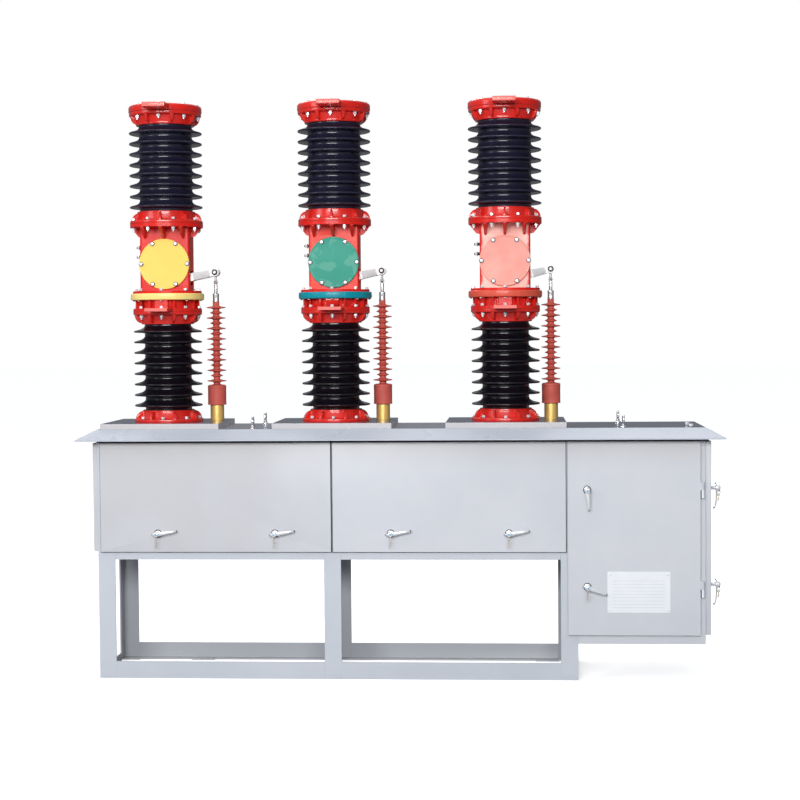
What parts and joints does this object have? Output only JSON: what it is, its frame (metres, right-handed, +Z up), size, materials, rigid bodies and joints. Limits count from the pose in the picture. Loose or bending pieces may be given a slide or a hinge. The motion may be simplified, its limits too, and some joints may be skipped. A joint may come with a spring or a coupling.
{
  "type": "outdoor vacuum circuit breaker",
  "caption": "Outdoor vacuum circuit breaker: porcelain poles with red housings and operating rods on a sheet-metal cabinet with an angle-steel base frame.",
  "frame": {"origin": "on the ground, under the middle of the lid's outline", "axes": "+X to the right along the row of poles, +Y from the front to the back, +Z up"},
  "size_m": [2.63, 0.58, 2.377],
  "materials": {
    "frame_paint": "light blue-grey gloss paint",
    "cabinet_paint": "light blue-grey gloss paint on sheet steel",
    "lid_paint": "light blue-grey gloss paint, mirror-like on level faces",
    "red_casting": "red gloss paint on castings",
    "housing_paint": "red gloss paint on cast housings",
    "glazed_porcelain": "dark brown-black glaze",
    "tube_brass": "yellow passivated tube",
    "phase_yellow_pale": "pale yellow phase ring",
    "phase_yellow": "yellow phase cover",
    "phase_teal": "teal phase ring",
    "phase_green": "green phase cover",
    "phase_orange": "orange-red phase ring",
    "phase_pink": "pink-red phase cover",
    "plated_steel": "zinc plated steel",
    "silicone": "brick red silicone rubber",
    "plate_metal": "bare aluminium plate",
    "handle_metal": "satin plated handle"
  },
  "bodies": {
    "root": {"front_posts": "frame_paint", "rear_posts": "frame_paint", "lower_rails": "frame_paint", "middle_rails": "frame_paint", "upper_rails": "frame_paint", "cross_rails": "frame_paint", "cabinet_floor": "cabinet_paint", "mechanism_floor": "cabinet_paint", "mechanism_wall": "cabinet_paint", "mechanism_corner_posts": "cabinet_paint", "end_cover": "cabinet_paint", "rear_panels": "cabinet_paint", "lid": "lid_paint", "lifting_eyes": "plated_steel", "plinths": "lid_paint", "base_flanges": "red_casting", "lower_insulators": "glazed_porcelain", "lower_collars": "red_casting", "terminal_necks": "red_casting", "housings": "housing_paint", "middle_collars": "red_casting", "upper_insulators": "glazed_porcelain", "top_collars": "red_casting", "top_caps": "red_casting", "guide_tubes": "tube_brass", "phase_ring_left": "phase_yellow_pale", "phase_ring_middle": "phase_teal", "phase_ring_right": "phase_orange", "access_cover_left": "phase_yellow", "access_cover_middle": "phase_green", "access_cover_right": "phase_pink", "hinge_brackets": "cabinet_paint"},
    "crank_left": {"crank_arm_left": "plated_steel"},
    "rod_left": {"operating_rod_left": "silicone", "rod_end_left": "plated_steel"},
    "crank_middle": {"crank_arm_middle": "plated_steel"},
    "rod_middle": {"operating_rod_middle": "silicone", "rod_end_middle": "plated_steel"},
    "crank_right": {"crank_arm_right": "plated_steel"},
    "rod_right": {"operating_rod_right": "silicone", "rod_end_right": "plated_steel"},
    "flap_left": {"flap_left": "cabinet_paint"},
    "flap_middle": {"flap_middle": "cabinet_paint"},
    "mechanism_door": {"mechanism_door": "cabinet_paint", "nameplate": "plate_metal"},
    "end_door": {"end_door": "cabinet_paint"},
    "flap_left_handle_a": {"flap_left_handle_a": "handle_metal"},
    "flap_left_handle_b": {"flap_left_handle_b": "handle_metal"},
    "flap_middle_handle_a": {"flap_middle_handle_a": "handle_metal"},
    "flap_middle_handle_b": {"flap_middle_handle_b": "handle_metal"},
    "mechanism_handle_upper": {"mechanism_handle_upper": "handle_metal"},
    "mechanism_handle_lower": {"mechanism_handle_lower": "handle_metal"},
    "end_handle_upper": {"end_handle_upper": "handle_metal"},
    "end_handle_lower": {"end_handle_lower": "handle_metal"}
  },
  "joints": [
    {"name": "crank_left_turn", "type": "hinge", "parent": "root", "child": "crank_left", "pos_m": [-0.921, 0, 1.64317], "axis": [0, 1, 0], "range_deg": [0, 16]},
    {"name": "crank_middle_turn", "type": "hinge", "parent": "root", "child": "crank_middle", "pos_m": [-0.211, 0, 1.64317], "axis": [0, 1, 0], "range_deg": [0, 16]},
    {"name": "crank_right_turn", "type": "hinge", "parent": "root", "child": "crank_right", "pos_m": [0.499, 0, 1.64317], "axis": [0, 1, 0], "range_deg": [0, 16]},
    {"name": "rod_left_pin", "type": "hinge", "parent": "crank_left", "child": "rod_left", "pos_m": [-0.791, 0.09, 1.678], "axis": [0, 1, 0], "range_deg": [-16, 0]},
    {"name": "rod_middle_pin", "type": "hinge", "parent": "crank_middle", "child": "rod_middle", "pos_m": [-0.081, 0.09, 1.678], "axis": [0, 1, 0], "range_deg": [-16, 0]},
    {"name": "rod_right_pin", "type": "hinge", "parent": "crank_right", "child": "rod_right", "pos_m": [0.629, 0.09, 1.678], "axis": [0, 1, 0], "range_deg": [-16, 0]},
    {"name": "flap_left_hinge", "type": "hinge", "parent": "root", "child": "flap_left", "pos_m": [-0.75, -0.2265, 0.98], "axis": [-1, 0, 0], "range_deg": [0, 75]},
    {"name": "flap_middle_hinge", "type": "hinge", "parent": "root", "child": "flap_middle", "pos_m": [0.206, -0.2265, 0.98], "axis": [-1, 0, 0], "range_deg": [0, 75]},
    {"name": "mechanism_door_hinge", "type": "hinge", "parent": "root", "child": "mechanism_door", "pos_m": [1.228, -0.2315, 0.57], "axis": [0, 0, 1], "range_deg": [0, 110]},
    {"name": "end_door_hinge", "type": "hinge", "parent": "root", "child": "end_door", "pos_m": [1.2615, 0.208, 0.57], "axis": [0, 0, 1], "range_deg": [0, 110]},
    {"name": "flap_left_handle_a_turn", "type": "hinge", "parent": "flap_left", "child": "flap_left_handle_a", "pos_m": [-0.988, -0.2325, 0.601], "axis": [0, 1, 0], "range_deg": [0, 90]},
    {"name": "flap_left_handle_b_turn", "type": "hinge", "parent": "flap_left", "child": "flap_left_handle_b", "pos_m": [-0.504, -0.2325, 0.601], "axis": [0, 1, 0], "range_deg": [0, 90]},
    {"name": "flap_middle_handle_a_turn", "type": "hinge", "parent": "flap_middle", "child": "flap_middle_handle_a", "pos_m": [-0.03, -0.2325, 0.601], "axis": [0, 1, 0], "range_deg": [0, 90]},
    {"name": "flap_middle_handle_b_turn", "type": "hinge", "parent": "flap_middle", "child": "flap_middle_handle_b", "pos_m": [0.45, -0.2325, 0.601], "axis": [0, 1, 0], "range_deg": [0, 90]},
    {"name": "mechanism_handle_upper_turn", "type": "hinge", "parent": "mechanism_door", "child": "mechanism_handle_upper", "pos_m": [0.765, -0.2325, 0.777], "axis": [0, -1, 0], "range_deg": [0, 90]},
    {"name": "mechanism_handle_lower_turn", "type": "hinge", "parent": "mechanism_door", "child": "mechanism_handle_lower", "pos_m": [0.765, -0.2325, 0.384], "axis": [0, -1, 0], "range_deg": [-64, 26]},
    {"name": "end_handle_upper_turn", "type": "hinge", "parent": "end_door", "child": "end_handle_upper", "pos_m": [1.2625, -0.15, 0.777], "axis": [1, 0, 0], "range_deg": [0, 90]},
    {"name": "end_handle_lower_turn", "type": "hinge", "parent": "end_door", "child": "end_handle_lower", "pos_m": [1.2625, -0.15, 0.384], "axis": [1, 0, 0], "range_deg": [0, 90]}
  ],
  "couplings": [
    {"joint": "crank_middle_turn", "follows": "crank_left_turn", "ratio": 1},
    {"joint": "crank_right_turn", "follows": "crank_left_turn", "ratio": 1},
    {"joint": "rod_left_pin", "follows": "crank_left_turn", "ratio": -0.9725},
    {"joint": "rod_middle_pin", "follows": "crank_left_turn", "ratio": -0.9725},
    {"joint": "rod_right_pin", "follows": "crank_left_turn", "ratio": -0.9725}
  ]
}
